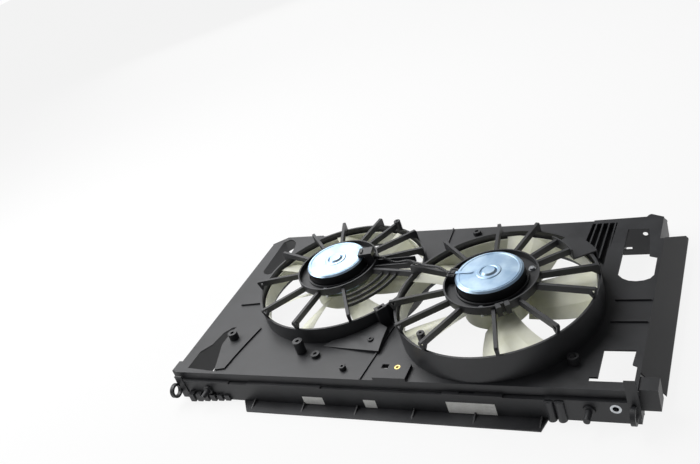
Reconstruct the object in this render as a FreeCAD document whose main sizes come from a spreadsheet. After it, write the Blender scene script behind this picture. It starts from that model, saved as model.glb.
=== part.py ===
"""Twin radiator cooling fan of a car: a plastic shroud with two ring fans and their electric motors.

The part lies on the edges of its shroud, motor side up. X runs along the shroud, Y from its upper
beam to its lower skirt as fitted in the car, and Z from the radiator to the engine. Millimetres.
"""
import FreeCAD, Part
import math
import os
import re

import Sketcher
from FreeCAD import Placement, Rotation, Vector

os.makedirs("parts", exist_ok=True)

doc = FreeCAD.newDocument("cooling_fan")
sheet = doc.addObject("Spreadsheet::Sheet", "Sizes")

# Driving dimensions, in millimetres, degrees or a plain count
SIZES = {
    "overall_length": 878,
    "overall_width": 512,
    "large_fan_x": 172,
    "large_fan_y": -52,
    "fan_pitch_x": 327,
    "fan_pitch_y": 78,
    # shroud moulding
    "panel_level": 58,
    "small_drop": 18,
    "sheet_wall": 3,
    "seam_straight": 60,
    "seam_upper_x": -22,
    "seam_lower_x": 8,
    "seam_rib": 2.5,
    "skirt_reach": 48,
    "plateau_rise": 3,
    "well_depth": 12,
    "well_fin": 2.5,
    "large_opening": 167,
    "small_opening": 162,
    "duct_wall": 2.5,
    "duct_height": 49,
    "rim_bead": 1.2,
    "rim_bead_height": 5,
    # upper beam
    "beam_lip": 25,
    "beam_ledge": 7,
    "beam_depth": 23,
    "beam_level": 42,
    "beam_wall": 3,
    "lip_sheet": 2.5,
    "lip_start_x": -271,
    "lip_end_x": 278,
    "ledge_depth": 2,
    # side walls and air guides
    "guide_flare": 29,
    "guide_sheet": 3,
    "guide_low": 17,
    "guide_inset": 37,
    "guide_end": 7,
    "guide_twist": 11,
    "block_reach": 26,
    "small_block_reach": 10,
    "block_inset": 5,
    "block_length": 26,
    "wall_inset": 22,
    # lower skirt
    "skirt_left": -353,
    "skirt_right": 278,
    "skirt_slant": 70,
    # brackets at the corners
    "eye_inset": 6,
    "left_eye_inset": 2,
    "eye_stand": 11.5,
    "eye_level": 29,
    "eye_outer": 13.5,
    "eye_bore": 8.5,
    "left_eye_bore": 9,
    "eye_width": 7,
    "strap_width": 16,
    "strap_sheet": 2,
    "strap_top": 84,
    "tab_top": 54,
    "pin_inset": 69,
    "pin_level": 25,
    "pin_radius": 5,
    "pin_reach": 23,
    "pin_collar": 9,
    "collar_height": 4,
    "bush_inset": 32,
    "bush_level": 29,
    "bush_outer": 8,
    "bush_bore": 4.5,
    "bush_length": 12,
    "corner_wide": 80,
    "corner_deep": 32,
    "corner_low": 3,
    "wall_bite": 1.5,
    "corner_step": 7,
    "corner_bore": 4.5,
    "corner_bore_inset": 36,
    "corner_bore_level": 46,
    "corner_access": 8,
    "corner_slot_inset": 69,
    "corner_slot_level": 17,
    "corner_slot_length": 14,
    "corner_slot_width": 6,
    "slit_width": 5,
    # threaded insert for the cable clamp
    "pad_left": 3,
    "pad_right": 61,
    "pad_depth": 34,
    "pad_height": 6,
    "insert_x": 39,
    "insert_y": -198,
    "insert_outer": 5,
    "insert_bore": 2.5,
    # openings in the panels
    "window_inset": 57,
    "window_border": 6,
    "window_gap": 17,
    "window_near": 67,
    "window_far": 140,
    "slot_inset": 24,
    "slot_wide": 47,
    "slot_end_gap": 6,
    "slot_length": 129,
    # motor stays
    "stay_rise": 18,
    "spoke_depth": 11,
    "spoke_thick": 5.5,
    "leg_reach": 7,
    "leg_thick": 6,
    "ring_reach": 22.6,
    "ring_gap": 2.1,
    "ring_plate": 3,
    "ring_height": 14,
    "ring_wall": 2.5,
    "ring_rise": 9,
    "holder_inner": 137,
    "holder_outer": 178,
    "holder_height": 20,
    "holder_sweep": 24,
    "tray_end": 152,
    "tray_half": 11,
    # motors
    "can_radius": 56.4,
    "can_wall": 1.6,
    "can_height": 38,
    "can_front": 12,
    "flange_reach": 6.6,
    "ear_radius": 7,
    "screw_reach": 11.6,
    "screw_radius": 2.5,
    "screw_clearance": 0.1,
    "screw_head": 4.6,
    "screw_head_height": 3.6,
    "screw_length": 14,
    "end_plate": 3,
    "shaft_radius": 4,
    "running_fit": 0.05,
    "bearing_outer": 9,
    "bearing_width": 6,
    "boss_wall": 1.5,
    "magnet_thick": 11.6,
    "core_height": 13,
    "core_level": 5,
    "core_slots": 12,
    "air_gap": 1.2,
    "magnet_arc": 78,
    "winding_height": 5,
    "winding_inner": 18,
    "commutator_radius": 13,
    "commutator_height": 8,
    "commutator_level": -8.7,
    "brush_width": 6,
    "brush_length": 12,
    "holder_sheet": 2,
    "part_gap": 0.3,
    "plug_width": 22,
    "plug_height": 16,
    "lead_radius": 2.4,
    # ring fans
    "large_band": 163,
    "small_band": 158,
    "band_wall": 2,
    "band_height": 28,
    "band_rise": 9,
    "hub_radius": 57,
    "hub_wall": 2.5,
    "hub_front_drop": 2,
    "hub_height": 40,
    "hub_recess": 17,
    "recess_depth": 10,
    "nut_flat": 13,
    "nut_height": 6.5,
    "large_blades": 5,
    "small_blades": 7,
}
for row, (alias, value) in enumerate(SIZES.items(), start=1):
    sheet.set("A%d" % row, alias)
    sheet.set("B%d" % row, str(value))
    sheet.setAlias("B%d" % row, alias)
doc.recompute()

# Places that follow from the driving dimensions, as sheet formulas
RIGHT_EDGE = "(overall_length / 2 - guide_flare)"
LEFT_EDGE = "(guide_flare - overall_length / 2)"
UPPER_EDGE = "(beam_lip + beam_ledge - overall_width / 2)"
BEAM_FACE = "(beam_lip - overall_width / 2)"
BEAM_BACK = "(beam_lip + beam_depth - overall_width / 2)"
LOWER_EDGE = "(overall_width / 2 - skirt_reach)"
CORNER_WALL = "(overall_width / 2 - skirt_reach - corner_deep)"
BUSH_X = "(overall_length / 2 - guide_flare - bush_inset)"
SMALL_LEVEL = "(panel_level - small_drop)"
SMALL_X = "(large_fan_x - fan_pitch_x)"
SMALL_Y = "(large_fan_y + fan_pitch_y)"
PITCH = "sqrt(fan_pitch_x ^ 2 + fan_pitch_y ^ 2)"
THROAT = "((%s + large_opening - small_opening) / 2 / %s)" % (PITCH, PITCH)
RING_INNER = "(can_radius + ring_gap)"
RING_OUTER = "(can_radius + ring_reach)"
SCREW_CIRCLE = "(can_radius + screw_reach)"
CORE_RADIUS = "(can_radius - can_wall - magnet_thick - air_gap)"


def formula(text):
    """Turns plain alias names in a formula into references to the sheet."""
    return re.sub(r"[a-z]+_[a-z_]+", lambda word: "Sizes." + word.group(0), str(text))


def bind(thing, **values):
    """Ties properties of an object to formulas, such as Length='sheet_wall'."""
    for name, text in values.items():
        thing.setExpression(name.replace("__", "."), formula(text))


def origin_part(body, role):
    """Finds one of a body's own origin planes or axes."""
    return [item for item in body.Origin.OriginFeatures if item.Role == role][0]


def new_body(label, x="0", y="0", z="0"):
    """Starts a named body whose own frame stands at a place given by formulas."""
    body = doc.addObject("PartDesign::Body", label)
    body.Label = label
    bind(body, Placement__Base__x=x, Placement__Base__y=y, Placement__Base__z=z)
    return body


def new_sketch(body, role, offset="0", turn=None):
    """Attaches a sketch to an origin plane, moved along its normal and turned about an axis."""
    sketch = body.newObject("Sketcher::SketchObject", "Outline")
    sketch.AttachmentSupport = [(origin_part(body, role), "")]
    sketch.MapMode = "FlatFace"
    if turn:
        axis, angle = turn
        sketch.AttachmentOffset = Placement(Vector(0, 0, 0), Rotation(axis, 1))
        bind(sketch, AttachmentOffset__Rotation__Angle=angle)
    bind(sketch, AttachmentOffset__Base__z=offset)
    return sketch


def fix_point(sketch, geometry, vertex, x, y):
    """Places a point of the sketch by two formulas."""
    for kind, text in (("DistanceX", x), ("DistanceY", y)):
        index = sketch.addConstraint(Sketcher.Constraint(kind, -1, 1, geometry, vertex, 1.0))
        bind(sketch, **{"Constraints[%d]" % index: text})


def draw_polygon(sketch, corners):
    """Draws a closed ring of straight edges through corners given by formulas."""
    first = sketch.GeometryCount
    count = len(corners)
    ring = [Vector(math.cos(2 * math.pi * n / count), math.sin(2 * math.pi * n / count), 0)
            for n in range(count + 1)]
    for n in range(count):
        sketch.addGeometry(Part.LineSegment(ring[n], ring[n + 1]), False)
    for n in range(count):
        link = Sketcher.Constraint("Coincident", first + n, 2, first + (n + 1) % count, 1)
        sketch.addConstraint(link)
    for n, (x, y) in enumerate(corners):
        fix_point(sketch, first + n, 1, x, y)


def draw_circle(sketch, x, y, radius):
    """Draws a circle whose centre and radius are formulas."""
    index = sketch.addGeometry(Part.Circle(Vector(0, 0, 0), Vector(0, 0, 1), 1.0), False)
    fix_point(sketch, index, 3, x, y)
    rule = sketch.addConstraint(Sketcher.Constraint("Radius", index, 1.0))
    bind(sketch, **{"Constraints[%d]" % rule: radius})


def draw_all(sketch, loops):
    """Draws each loop: a tuple is a circle (x, y, radius), and a list is a ring of corners."""
    for loop in loops:
        if isinstance(loop, tuple):
            draw_circle(sketch, *loop)
        else:
            draw_polygon(sketch, loop)


def rectangle(x_low, x_high, y_low, y_high):
    """Corners of an upright rectangle."""
    return [(x_low, y_low), (x_high, y_low), (x_high, y_high), (x_low, y_high)]


def rise(body, start, height, *loops):
    """Pads loops drawn in X and Y from one level upwards."""
    sketch = new_sketch(body, "XY_Plane", start)
    draw_all(sketch, loops)
    pad = body.newObject("PartDesign::Pad", "Rise")
    pad.Profile = sketch
    bind(pad, Length=height)
    body.Tip = pad
    return pad


def drill(body, top, depth, *loops):
    """Cuts loops drawn in X and Y from a level downwards."""
    sketch = new_sketch(body, "XY_Plane", top)
    draw_all(sketch, loops)
    pocket = body.newObject("PartDesign::Pocket", "Drill")
    pocket.Profile = sketch
    bind(pocket, Length=depth)
    body.Tip = pocket
    return pocket


def along_x(body, start, length, *loops, cut=False):
    """Pads or pockets loops drawn in Y and Z along X."""
    sketch = new_sketch(body, "YZ_Plane", start)
    draw_all(sketch, loops)
    kind = "Pocket" if cut else "Pad"
    feature = body.newObject("PartDesign::" + kind, "AlongX")
    feature.Profile = sketch
    feature.Reversed = cut
    bind(feature, Length=length)
    body.Tip = feature
    return feature


def along_y(body, start, length, *loops, cut=False):
    """Pads or pockets loops drawn in X and Z along Y. The plane's normal points to -Y."""
    sketch = new_sketch(body, "XZ_Plane", "-(%s)" % start)
    draw_all(sketch, loops)
    kind = "Pocket" if cut else "Pad"
    feature = body.newObject("PartDesign::" + kind, "AlongY")
    feature.Profile = sketch
    feature.Reversed = not cut
    bind(feature, Length=length)
    body.Tip = feature
    return feature


def turn_profile(body, corners, groove=False):
    """Revolves a ring of corners, given as radius and height, about the body's Z axis."""
    sketch = new_sketch(body, "XZ_Plane")
    draw_polygon(sketch, corners)
    kind = "Groove" if groove else "Revolution"
    feature = body.newObject("PartDesign::" + kind, "Turned")
    feature.Profile = sketch
    feature.ReferenceAxis = (origin_part(body, "Z_Axis"), [""])
    feature.Angle = 360
    body.Tip = feature
    return feature


def boss(body, x, y, level, height, radius, bore):
    """Raises a hollow round boss on a panel."""
    rise(body, level, height, (x, y, radius), (x, y, bore))


def polar_copies(body, features, count):
    """Repeats features evenly about the body's Z axis."""
    pattern = body.newObject("PartDesign::PolarPattern", "Around")
    pattern.Originals = features
    pattern.Axis = (origin_part(body, "Z_Axis"), [""])
    pattern.Angle = 360
    bind(pattern, Occurrences=count)
    body.Tip = pattern
    return pattern


def make_group(label, x, y, z, shapes):
    """Several separate solids of one kind, kept together under one name."""
    group = doc.addObject("Part::Feature", label)
    group.Label = label
    group.Shape = Part.makeCompound(shapes)
    bind(group, Placement__Base__x=x, Placement__Base__y=y, Placement__Base__z=z)
    return group


def size(alias):
    """Reads one driving dimension from the sheet as a number."""
    return float(sheet.get(alias))


# Shroud panels: one level, split along the seam between the two fan openings
def seam_line(shift):
    """Corners of the seam from the upper edge to the lower edge, moved along X."""
    throat_x = "(large_fan_x - fan_pitch_x * %s)" % THROAT
    throat_y = "(large_fan_y + fan_pitch_y * %s)" % THROAT
    lean_x = "(seam_straight * fan_pitch_y / %s)" % PITCH
    lean_y = "(seam_straight * fan_pitch_x / %s)" % PITCH
    return [
        ("seam_upper_x + %s" % shift, UPPER_EDGE),
        ("%s - %s + %s" % (throat_x, lean_x, shift), "%s - %s" % (throat_y, lean_y)),
        ("%s + %s + %s" % (throat_x, lean_x, shift), "%s + %s" % (throat_y, lean_y)),
        ("seam_lower_x + %s" % shift, LOWER_EDGE),
    ]


def near_wall(body, start, end):
    """Upright wall that stands on the beam under the panel's upper edge."""
    wall = rectangle(start, end, UPPER_EDGE, UPPER_EDGE + " + sheet_wall")
    rise(body, "beam_level", "panel_level - sheet_wall - beam_level", wall)


def make_large_panel():
    """Sheet round the large fan, with two windows, a seam rib, a pad for the insert and a boss."""
    body = new_body("large_fan_panel")
    seam = seam_line("0")
    side = RIGHT_EDGE + " - corner_step"
    outline = seam + [(side, LOWER_EDGE), (side, CORNER_WALL + " - corner_deep"),
                      (RIGHT_EDGE, CORNER_WALL + " - corner_deep"), (RIGHT_EDGE, UPPER_EDGE)]
    left = RIGHT_EDGE + " - window_inset"
    right = RIGHT_EDGE + " - window_border"
    start = "(%s + window_gap)" % UPPER_EDGE
    end = "(%s + window_near)" % start
    near = [
        (left + " - 12", start), (right, start), (right, start + " + 34"),
        (right + " - 7", start + " + 37"), (right + " - 5", end), (left, end),
        (left, start + " + 8"), (left + " - 12", start + " + 8"),
    ]
    start = "(%s - window_far)" % CORNER_WALL
    far = [
        (left + " - 6", start + " + 8"), (left + " + 3", start + " - 3"),
        (left + " + 13", start + " - 9"), (left + " + 25", start + " - 11"),
        (left + " + 37", start + " - 9"), (right + " - 5", start + " - 4"),
        (right, start + " + 5"), (right, start + " + 55"), (right + " - 13", start + " + 60"),
        (right + " - 18", start + " + 113"), (right + " - 22", CORNER_WALL),
        (left + " - 6", CORNER_WALL),
    ]
    place = ("large_fan_x + 143", "large_fan_y - 119")
    rise(body, "panel_level - sheet_wall", "sheet_wall", outline,
         ("large_fan_x", "large_fan_y", "large_opening"), near, far, place + ("5",))
    near_wall(body, "seam_upper_x", RIGHT_EDGE)
    boss(body, *place, "panel_level", "14", "8.5", "5")
    boss(body, "large_fan_x - 107", LOWER_EDGE + " - 22", "panel_level", "7", "8", "3.5")
    add_well(body)
    ridge = seam_line("seam_rib")
    for first in (0, 2):
        rib = seam[first:first + 2] + ridge[first:first + 2][::-1]
        rise(body, "panel_level", "seam_rib", rib)
    for share in (0.35, 0.65):
        place = "%s + %g * (%s - %s)" % (end, share, start, end)
        rib = rectangle(left, RIGHT_EDGE + " - 2", place, place + " + 2.5")
        rise(body, "panel_level", "3", rib)
    rise(body, "panel_level", "pad_height", rectangle(
        "pad_left", "pad_right", UPPER_EDGE, UPPER_EDGE + " + pad_depth"))
    slot = rectangle("pad_left + 8", "pad_left + 20", "insert_y - 4", "insert_y + 6")
    drill(body, "panel_level + pad_height", "pad_height + sheet_wall", slot,
          ("insert_x", "insert_y", "insert_outer"))
    return body


def add_well(body):
    """Sunken well beyond the large duct, stiffened by four fins level with the panel."""
    right = RIGHT_EDGE + " - 84"
    far = LOWER_EDGE + " - 8"
    floor = "(panel_level - sheet_wall - well_depth)"
    rise(body, floor, "well_depth", [
        (right + " - 3", far + " - 133"), (right + " - 27", far + " - 105"),
        (right + " - 53", far + " - 86"), (right + " - 47", far + " + 3"),
        (right + " + 3", far + " + 3"), (right + " + 1", far + " - 60"),
    ])
    drill(body, "panel_level", "well_depth", [
        (right + " - 6", far + " - 130"), (right + " - 25", far + " - 102"),
        (right + " - 50", far + " - 84"), (right + " - 44", far), (right, far),
        (right + " - 2", far + " - 60"),
    ])
    for n in range(4):
        near = "%s - %d" % (right, 42 - 12 * n)
        off = "%s - %d" % (right, 38 - 11 * n)
        start = "%s - %d" % (far, 88 + 10 * n)
        fin = [(near, start), (near + " + well_fin", start), (off + " + well_fin", far + " + 1"),
               (off, far + " + 1")]
        rise(body, floor + " + sheet_wall - 0.5", "well_depth + 0.5", fin)


def make_small_panel():
    """Sheet round the small fan, with a vee window, a slot window and its bosses."""
    body = new_body("small_fan_panel")
    corners = seam_line("0") + [(LEFT_EDGE + " + 27", LOWER_EDGE),
                                (LEFT_EDGE, LOWER_EDGE + " - 24"), (LEFT_EDGE, UPPER_EDGE)]
    vee = [(LEFT_EDGE + " + %d" % x, UPPER_EDGE + " + %d" % y) for x, y in (
        (24, 12), (88, 6), (76, 41), (64, 74), (63, 112), (69, 128), (58, 127), (46, 111),
        (40, 78), (24, 56))]
    left = LEFT_EDGE + " + slot_inset"
    right = left + " + slot_wide"
    far = LOWER_EDGE + " - slot_end_gap"
    near = far + " - slot_length"
    slot = [
        (left + " + 4", near + " + 12"), (left + " + 12", near + " + 3"), (left + " + 22", near),
        (left + " + 35", near + " + 5"), (right, near + " + 18"), (right + " - 8", far + " - 30"),
        (right + " - 13", far + " - 14"), (left + " + 22", far + " - 3"), (left + " + 12", far),
        (left, far + " - 10"),
    ]
    plateau = [(LEFT_EDGE + " + %d" % x, UPPER_EDGE + " + %d" % y) for x, y in (
        (90, 8), (109, 12), (113, 47), (118, 78), (127, 124), (100, 136), (72, 130), (65, 112),
        (66, 74), (78, 41))]
    tall = (SMALL_X + " - 8", SMALL_Y + " - 187")
    second = (SMALL_X + " - 171", SMALL_Y + " - 157")
    low = (SMALL_X + " + 26", SMALL_Y + " - 197")
    rise(body, "panel_level - sheet_wall", "sheet_wall", corners,
         (SMALL_X, SMALL_Y, "small_opening + duct_wall"), vee, slot, tall + ("3.5",),
         second + ("3.5",), low + ("3.5",))
    near_wall(body, LEFT_EDGE, "seam_upper_x")
    rise(body, "panel_level", "plateau_rise", plateau, second + ("3.5",))
    boss(body, *tall, "panel_level", "25", "9", "3.5")
    boss(body, *second, "panel_level", "16", "9", "3.5")
    boss(body, *low, "panel_level", "6", "8", "3.5")
    return body


def make_insert():
    """Brass insert with an M6 thread, set flush in its pad."""
    body = new_body("threaded_insert", "insert_x", "insert_y", "panel_level - sheet_wall")
    rise(body, "0", "sheet_wall + pad_height", ("0", "0", "insert_outer"), ("0", "0", "insert_bore"))
    return body


make_large_panel()
make_small_panel()
make_insert()


# Ducts: a barrel round each fan that stands on its panel
def make_duct(label, x, y, level, opening):
    """Barrel with a small bead round its rear rim."""
    body = new_body(label, x, y, level)
    outer = opening + " + duct_wall"
    turn_profile(body, [
        (opening, "0"), (outer, "0"), (outer, "duct_height"),
        (opening + " - rim_bead", "duct_height"),
        (opening + " - rim_bead", "duct_height - rim_bead_height"),
        (opening, "duct_height - rim_bead_height - rim_bead"),
    ])
    return body


make_duct("large_fan_duct", "large_fan_x", "large_fan_y", "panel_level", "large_opening")
make_duct("small_fan_duct", SMALL_X, SMALL_Y, SMALL_LEVEL, "small_opening")


# Motor stays: a ring that carries the motor, and spokes that end on the rim of the duct
LARGE_SPOKES = {
    "long": [-9, -41, -73, -115, -139, -162],
    "short": [12, 76, 100, 135, 163],
    "held": [36, 52],
}
SMALL_SPOKES = {
    "long": [-60, -96, -128, -165],
    "short": [-8, 18, 43, 64, 81, 110, 134, 160],
    "held": [],
}


def turn_arc(body, corners, middle, sweep):
    """Revolves a ring of corners over part of a turn, evenly about a direction."""
    sketch = new_sketch(body, "XZ_Plane", "0", (Vector(0, 1, 0), middle))
    draw_polygon(sketch, corners)
    feature = body.newObject("PartDesign::Revolution", "Arc")
    feature.Profile = sketch
    feature.ReferenceAxis = (origin_part(body, "Z_Axis"), [""])
    feature.Midplane = True
    bind(feature, Angle=sweep)
    body.Tip = feature
    return feature


def make_stay(label, x, y, level, opening, spokes):
    """Channel ring open to the rear, with flat spokes on edge and legs down to the rim."""
    body = new_body(label, x, y, "%s + duct_height" % level)
    top = "stay_rise"
    low = "(stay_rise - spoke_depth)"
    base = "ring_rise"
    root = RING_OUTER + " - ring_wall / 2"
    turn_profile(body, [
        (RING_INNER, base), (RING_OUTER, base), (RING_OUTER, base + " + ring_height"),
        (RING_OUTER + " - ring_wall", base + " + ring_height"),
        (RING_OUTER + " - ring_wall", base + " + ring_plate"),
        (RING_INNER + " + ring_wall", base + " + ring_plate"),
        (RING_INNER + " + ring_wall", base + " + ring_height / 2"),
        (RING_INNER, base + " + ring_height / 2"),
    ])
    for style, angles in spokes.items():
        reach = opening + (" + leg_reach" if style == "long" else " + duct_wall")
        gap = []
        if style == "held":
            profile = rectangle(root, "holder_inner + ring_wall / 2", low, top)
        else:
            profile = [
                (root, low), (reach + " - leg_thick - leg_reach", low),
                (opening + " - rim_bead", "0"), (opening + " + duct_wall", "0"),
                (reach, top + " - 3"), (reach + " - 2", top), (root, top),
            ]
        if style == "long":
            gap = [[(opening + " - 4.5", top + " - 3.5"), (opening + " + 0.8", "4.5"),
                    (reach + " - 3", top + " - 3.5")]]
        for angle in angles:
            sketch = new_sketch(body, "XZ_Plane", "0", (Vector(0, 1, 0), "%g" % angle))
            draw_all(sketch, [profile] + gap)
            pad = body.newObject("PartDesign::Pad", "Spoke")
            pad.Profile = sketch
            pad.SideType = "Symmetric"
            bind(pad, Length="spoke_thick")
            body.Tip = pad
    holes = [ear_place(n) + ("screw_radius + screw_clearance",) for n in range(3)]
    drill(body, base + " + ring_plate", "ring_plate", *holes)
    return body


def ear_place(n):
    """Place of one of the three screws round the motor."""
    turn = n * 120 + 30
    return "%s * cos(%d)" % (SCREW_CIRCLE, turn), "%s * sin(%d)" % (SCREW_CIRCLE, turn)


def along_ray(angle, along, across):
    """A point measured along and across a direction from the fan's axis."""
    return ("(%s) * cos(%g) - (%s) * sin(%g)" % (along, angle, across, angle),
            "(%s) * sin(%g) + (%s) * cos(%g)" % (along, angle, across, angle))


def add_tray(body, angle):
    """Channel that carries the lead from the ring out to the rim."""
    low = "(stay_rise - spoke_depth)"
    start = RING_OUTER + " - ring_wall / 2"
    for near, far, height in (("-tray_half", "tray_half", "ring_wall"),
                              ("-tray_half", "-tray_half + 2", "spoke_depth"),
                              ("tray_half - 2", "tray_half", "spoke_depth")):
        corners = [along_ray(angle, start, near), along_ray(angle, "tray_end", near),
                   along_ray(angle, "tray_end", far), along_ray(angle, start, far)]
        rise(body, low, height, corners)


def add_holder(body, angle):
    """Bent plate over the rim: an upright wall inside, and a leg down to the panel outside."""
    foot = "-duct_height"
    turn_arc(body, [
        ("holder_inner", "0"), ("holder_outer - ring_wall", "0"), ("holder_outer - ring_wall", foot),
        ("holder_outer", foot), ("holder_outer", "ring_wall"),
        ("holder_inner + ring_wall", "ring_wall"), ("holder_inner + ring_wall", "holder_height"),
        ("holder_inner", "holder_height"),
    ], angle, "holder_sweep")


large_stay = make_stay("large_motor_stay", "large_fan_x", "large_fan_y", "panel_level",
                       "large_opening", LARGE_SPOKES)
add_holder(large_stay, "44")
small_stay = make_stay("small_motor_stay", SMALL_X, SMALL_Y, SMALL_LEVEL, "small_opening",
                       SMALL_SPOKES)
add_tray(small_stay, 5)
for share in (0.22, 0.4, 0.58):
    arc = "(%s + %g * (small_opening - %s))" % (RING_OUTER, share, RING_OUTER)
    turn_arc(small_stay, rectangle(arc, arc + " + ring_wall", "stay_rise - spoke_depth",
                                   "stay_rise - spoke_depth / 2"), "-34", "53")


# Upper beam: a channel along the upper edge, with a lip that laps over the radiator
def make_upper_beam():
    """Channel open to the radiator, scalloped round the large opening, with stepped ledges."""
    body = new_body("upper_beam")
    top = "beam_level"
    low = "(lip_sheet)"
    wall = "beam_wall"
    channel = [
        (BEAM_FACE, low), (BEAM_FACE, top), (BEAM_BACK, top), (BEAM_BACK, "0"),
        (BEAM_BACK + " - " + wall, "0"), (BEAM_BACK + " - " + wall, top + " - " + wall),
        (BEAM_FACE + " + " + wall, top + " - " + wall), (BEAM_FACE + " + " + wall, low),
    ]
    length = "(%s - %s)" % (RIGHT_EDGE, LEFT_EDGE)
    along_x(body, LEFT_EDGE, length, channel)
    drill(body, top, top, ("large_fan_x", "large_fan_y", "large_opening + duct_wall"))
    for place in ("lip_end_x + 7", "lip_end_x + 22"):
        rise(body, low, "beam_level - lip_sheet * 2", (place, BEAM_FACE, "7"))
    for place in (LEFT_EDGE, RIGHT_EDGE + " - beam_wall"):
        along_x(body, place, "beam_wall", rectangle(BEAM_FACE, BEAM_BACK, low, top))
    bush = (BUSH_X, "bush_level")
    along_y(body, BEAM_FACE, "bush_length", bush + ("bush_outer + boss_wall * 2",))
    along_y(body, BEAM_FACE, "bush_length", bush + ("bush_outer",), cut=True)
    for start, end, reach in (("lip_start_x - 20", "lip_start_x + 20", "8"),
                              ("lip_start_x + 171", "lip_start_x + 390", "5"),
                              ("lip_end_x - 62", "lip_end_x + 2", "9")):
        drill(body, top, "ledge_depth", rectangle(start, end, BEAM_FACE, BEAM_FACE + " + " + reach))
    drill(body, top, "ledge_depth", rectangle(
        "lip_end_x - 132", "lip_end_x - 106", BEAM_FACE + " + 3", BEAM_FACE + " + 7"))
    return body


def make_lip():
    """Wide thin lip that lies on the radiator's tank, stiffened by small gussets."""
    body = new_body("beam_lip")
    back = BEAM_FACE + " + beam_wall"
    rise(body, "0", "lip_sheet", [
        ("lip_start_x", back), ("lip_start_x", BEAM_FACE),
        ("lip_start_x + 18", "-overall_width / 2"), ("lip_end_x - 6", "-overall_width / 2"),
        ("lip_end_x", BEAM_FACE), ("lip_end_x", back),
    ])
    for n in range(6):
        place = "lip_start_x + 24 + %d * (lip_end_x - lip_start_x - 34) / 5" % n
        gusset = [(BEAM_FACE, "lip_sheet - 1"), ("-overall_width / 2 + 3", "lip_sheet - 1"),
                  (BEAM_FACE, "lip_sheet + 5")]
        along_x(body, place, "2.5", gusset)
    return body


def make_bush():
    """Steel bush pressed into its boss in the beam."""
    body = new_body("mount_bush")
    along_y(body, BEAM_FACE, "bush_length", (BUSH_X, "bush_level", "bush_outer"),
            (BUSH_X, "bush_level", "bush_bore"))
    return body


def make_pins():
    """Two locating pins with round collars, which stand out of the beam's face."""
    away = Vector(0, -1, 0)
    shapes = []
    for side in (-1, 1):
        x = side * (size("overall_length") / 2 - size("guide_flare") - size("pin_inset"))
        foot = Vector(x, 0, 0)
        collar = Part.makeCylinder(size("pin_collar"), size("collar_height"), foot, away)
        pin = Part.makeCylinder(size("pin_radius"), size("pin_reach"), foot, away)
        shapes.append(collar.fuse(pin).removeSplitter())
    return make_group("locating_pins", "0", BEAM_FACE, "pin_level", shapes)


def make_upper_bracket(label, x, top, shift, bore):
    """Upright strap on the beam's face, with an eye that hangs the shroud on the radiator."""
    body = new_body(label, x)
    face = "(%s)" % BEAM_FACE
    rise(body, "eye_level - eye_outer", top + " - eye_level + eye_outer", rectangle(
        shift + " - strap_width / 2", shift + " + strap_width / 2", face + " - strap_sheet", face))
    centre = (face + " - eye_stand", "eye_level")
    along_x(body, "-eye_width / 2", "eye_width", centre + ("eye_outer",))
    along_x(body, "-eye_width / 2", "eye_width", rectangle(
        face, face + " + eye_outer", "eye_level - eye_outer", "eye_level + eye_outer"), cut=True)
    along_x(body, "-strap_width * 2", "strap_width * 4", centre + (bore,), cut=True)
    return body


make_upper_beam()
make_lip()
make_bush()
make_pins()
make_upper_bracket("right_upper_bracket", RIGHT_EDGE + " - eye_inset", "strap_top", "0",
                   "eye_bore")
make_upper_bracket("left_upper_bracket", LEFT_EDGE + " + left_eye_inset", "tab_top",
                   "strap_width * 0.56", "left_eye_bore")


# Lower skirt: a slanted apron along the lower edge, between two corner brackets
def slanted_sheet(inner, inner_level, outer, outer_level, wall):
    """Corners of a sheet that slopes from an inner edge down to an outer one."""
    return [(inner, inner_level), (outer, outer_level), (outer, outer_level + " - " + wall),
            (inner, inner_level + " - " + wall)]


def make_lower_skirt():
    """Apron that slopes down towards the radiator."""
    body = new_body("lower_skirt")
    slope = slanted_sheet(LOWER_EDGE, "panel_level", "overall_width / 2", "guide_low",
                          "sheet_wall")
    along_x(body, "skirt_left", "skirt_right - skirt_left", slope)
    slant = [("skirt_left - 1", "overall_width / 2 + 1"), ("skirt_left - 1", LOWER_EDGE + " - 1"),
             ("skirt_left + skirt_slant", LOWER_EDGE + " - 1"),
             ("skirt_left + skirt_slant", LOWER_EDGE + " + 9"),
             ("skirt_left + 2", "overall_width / 2 + 1")]
    drill(body, "panel_level", "panel_level", slant)
    return body


def loft_down(body, low, low_corners, high, high_corners):
    """Straight-sided loft from corners at one level up to corners at another."""
    sections = []
    for level, corners in ((low, low_corners), (high, high_corners)):
        sketch = new_sketch(body, "XY_Plane", level)
        draw_polygon(sketch, corners)
        sections.append(sketch)
    loft = body.newObject("PartDesign::AdditiveLoft", "Slope")
    loft.Profile = sections[0]
    loft.Sections = sections[1:]
    loft.Ruled = True
    body.Tip = loft
    return loft


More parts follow.
